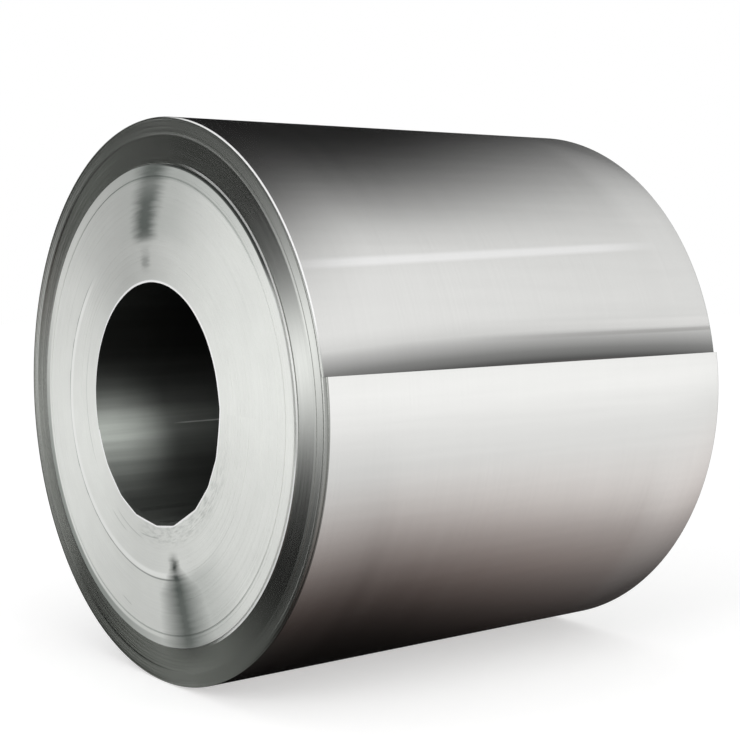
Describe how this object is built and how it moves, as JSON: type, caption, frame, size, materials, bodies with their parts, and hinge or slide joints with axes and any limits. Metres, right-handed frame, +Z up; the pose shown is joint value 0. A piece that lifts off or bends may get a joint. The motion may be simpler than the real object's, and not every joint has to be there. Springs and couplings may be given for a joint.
{
  "type": "nickel alloy strip coil",
  "caption": "Heavy coil of bright nickel alloy strip, 1.2 m across and 1.08 m wide, wound on a 508 mm bore and lying on its round side; its ends show the edges of the turns.",
  "frame": {"origin": "on the floor under the middle of the coil", "axes": "+X runs along the bore from the front end to the back end, +Z up"},
  "size_m": [1.0979, 1.1983, 1.1969],
  "materials": {
    "coil": "bright cold rolled nickel alloy"
  },
  "bodies": {
    "root": {"coil": "coil"}
  },
  "joints": []
}
